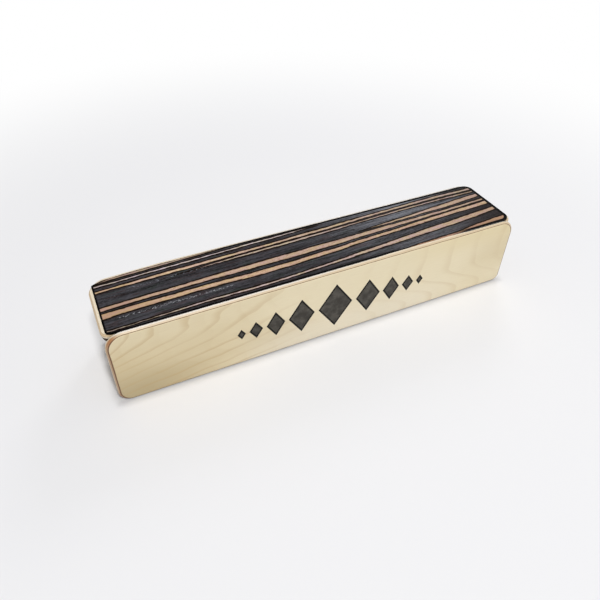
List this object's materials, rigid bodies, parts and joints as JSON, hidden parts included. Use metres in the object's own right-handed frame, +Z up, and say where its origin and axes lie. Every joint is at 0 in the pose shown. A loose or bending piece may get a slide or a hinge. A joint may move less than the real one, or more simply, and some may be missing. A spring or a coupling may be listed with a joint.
{
  "type": "box shaker",
  "caption": "Long square wooden box shaker: glued plywood boards, dark striped veneer above and below, and a lengthwise divider between a coarse and a fine chamber of loose beads.",
  "frame": {"origin": "middle of the underside, on the surface that the box lies on", "axes": "+X along the box, +Y from its front to its back, +Z up out of the striped top"},
  "size_m": [0.31, 0.06, 0.059],
  "materials": {
    "birch_face": "clear satin varnish",
    "pale_ply": "sanded, light varnish",
    "striped_veneer": "satin varnish",
    "plastic_bead": "gloss",
    "steel_bead": "polished"
  },
  "bodies": {
    "casing": {"front_board": "birch_face", "back_board": "birch_face", "top_board": "pale_ply", "top_veneer": "striped_veneer", "bottom_board": "pale_ply", "bottom_veneer": "striped_veneer", "left_end_panel": "pale_ply", "right_end_panel": "pale_ply", "divider": "pale_ply"},
    "coarse_bead_01": {"coarse_bead_01": "plastic_bead"},
    "coarse_bead_02": {"coarse_bead_02": "plastic_bead"},
    "coarse_bead_03": {"coarse_bead_03": "plastic_bead"},
    "coarse_bead_04": {"coarse_bead_04": "plastic_bead"},
    "coarse_bead_05": {"coarse_bead_05": "plastic_bead"},
    "coarse_bead_06": {"coarse_bead_06": "plastic_bead"},
    "coarse_bead_07": {"coarse_bead_07": "plastic_bead"},
    "coarse_bead_08": {"coarse_bead_08": "plastic_bead"},
    "coarse_bead_09": {"coarse_bead_09": "plastic_bead"},
    "coarse_bead_10": {"coarse_bead_10": "plastic_bead"},
    "coarse_bead_11": {"coarse_bead_11": "plastic_bead"},
    "coarse_bead_12": {"coarse_bead_12": "plastic_bead"},
    "fine_bead_01": {"fine_bead_01": "steel_bead"},
    "fine_bead_02": {"fine_bead_02": "steel_bead"},
    "fine_bead_03": {"fine_bead_03": "steel_bead"},
    "fine_bead_04": {"fine_bead_04": "steel_bead"},
    "fine_bead_05": {"fine_bead_05": "steel_bead"},
    "fine_bead_06": {"fine_bead_06": "steel_bead"},
    "fine_bead_07": {"fine_bead_07": "steel_bead"},
    "fine_bead_08": {"fine_bead_08": "steel_bead"},
    "fine_bead_09": {"fine_bead_09": "steel_bead"},
    "fine_bead_10": {"fine_bead_10": "steel_bead"},
    "fine_bead_11": {"fine_bead_11": "steel_bead"},
    "fine_bead_12": {"fine_bead_12": "steel_bead"},
    "fine_bead_13": {"fine_bead_13": "steel_bead"},
    "fine_bead_14": {"fine_bead_14": "steel_bead"},
    "fine_bead_15": {"fine_bead_15": "steel_bead"},
    "fine_bead_16": {"fine_bead_16": "steel_bead"}
  },
  "joints": [
    {"name": "coarse_bead_01_run", "type": "slide", "parent": "casing", "child": "coarse_bead_01", "axis": [0, 1, 0], "range_m": [-0.0093, 0.0093]},
    {"name": "coarse_bead_02_run", "type": "slide", "parent": "casing", "child": "coarse_bead_02", "axis": [0, 1, 0], "range_m": [-0.01464, 0.00396]},
    {"name": "coarse_bead_03_run", "type": "slide", "parent": "casing", "child": "coarse_bead_03", "axis": [0, 1, 0], "range_m": [-0.00143, 0.01717]},
    {"name": "coarse_bead_04_run", "type": "slide", "parent": "casing", "child": "coarse_bead_04", "axis": [0, 1, 0], "range_m": [-0.01557, 0.00303]},
    {"name": "coarse_bead_05_run", "type": "slide", "parent": "casing", "child": "coarse_bead_05", "axis": [0, 1, 0], "range_m": [-0.00793, 0.01067]},
    {"name": "coarse_bead_06_run", "type": "slide", "parent": "casing", "child": "coarse_bead_06", "axis": [0, 1, 0], "range_m": [-0.00505, 0.01355]},
    {"name": "coarse_bead_07_run", "type": "slide", "parent": "casing", "child": "coarse_bead_07", "axis": [0, 1, 0], "range_m": [-0.01694, 0.00166]},
    {"name": "coarse_bead_08_run", "type": "slide", "parent": "casing", "child": "coarse_bead_08", "axis": [0, 1, 0], "range_m": [-0.00229, 0.01631]},
    {"name": "coarse_bead_09_run", "type": "slide", "parent": "casing", "child": "coarse_bead_09", "axis": [0, 1, 0], "range_m": [-0.012, 0.0066]},
    {"name": "coarse_bead_10_run", "type": "slide", "parent": "casing", "child": "coarse_bead_10", "axis": [0, 1, 0], "range_m": [-0.01232, 0.00628]},
    {"name": "coarse_bead_11_run", "type": "slide", "parent": "casing", "child": "coarse_bead_11", "axis": [0, 1, 0], "range_m": [-0.00214, 0.01646]},
    {"name": "coarse_bead_12_run", "type": "slide", "parent": "casing", "child": "coarse_bead_12", "axis": [0, 1, 0], "range_m": [-0.01684, 0.00176]},
    {"name": "fine_bead_01_run", "type": "slide", "parent": "casing", "child": "fine_bead_01", "axis": [0, 1, 0], "range_m": [-0.01055, 0.01055]},
    {"name": "fine_bead_02_run", "type": "slide", "parent": "casing", "child": "fine_bead_02", "axis": [0, 1, 0], "range_m": [-0.01661, 0.00449]},
    {"name": "fine_bead_03_run", "type": "slide", "parent": "casing", "child": "fine_bead_03", "axis": [0, 1, 0], "range_m": [-0.00162, 0.01948]},
    {"name": "fine_bead_04_run", "type": "slide", "parent": "casing", "child": "fine_bead_04", "axis": [0, 1, 0], "range_m": [-0.01766, 0.00344]},
    {"name": "fine_bead_05_run", "type": "slide", "parent": "casing", "child": "fine_bead_05", "axis": [0, 1, 0], "range_m": [-0.00899, 0.01211]},
    {"name": "fine_bead_06_run", "type": "slide", "parent": "casing", "child": "fine_bead_06", "axis": [0, 1, 0], "range_m": [-0.00573, 0.01537]},
    {"name": "fine_bead_07_run", "type": "slide", "parent": "casing", "child": "fine_bead_07", "axis": [0, 1, 0], "range_m": [-0.01921, 0.00189]},
    {"name": "fine_bead_08_run", "type": "slide", "parent": "casing", "child": "fine_bead_08", "axis": [0, 1, 0], "range_m": [-0.0026, 0.0185]},
    {"name": "fine_bead_09_run", "type": "slide", "parent": "casing", "child": "fine_bead_09", "axis": [0, 1, 0], "range_m": [-0.01362, 0.00748]},
    {"name": "fine_bead_10_run", "type": "slide", "parent": "casing", "child": "fine_bead_10", "axis": [0, 1, 0], "range_m": [-0.01398, 0.00712]},
    {"name": "fine_bead_11_run", "type": "slide", "parent": "casing", "child": "fine_bead_11", "axis": [0, 1, 0], "range_m": [-0.00242, 0.01868]},
    {"name": "fine_bead_12_run", "type": "slide", "parent": "casing", "child": "fine_bead_12", "axis": [0, 1, 0], "range_m": [-0.0191, 0.002]},
    {"name": "fine_bead_13_run", "type": "slide", "parent": "casing", "child": "fine_bead_13", "axis": [0, 1, 0], "range_m": [-0.00607, 0.01503]},
    {"name": "fine_bead_14_run", "type": "slide", "parent": "casing", "child": "fine_bead_14", "axis": [0, 1, 0], "range_m": [-0.00861, 0.01249]},
    {"name": "fine_bead_15_run", "type": "slide", "parent": "casing", "child": "fine_bead_15", "axis": [0, 1, 0], "range_m": [-0.0179, 0.0032]},
    {"name": "fine_bead_16_run", "type": "slide", "parent": "casing", "child": "fine_bead_16", "axis": [0, 1, 0], "range_m": [-0.00166, 0.01944]}
  ]
}
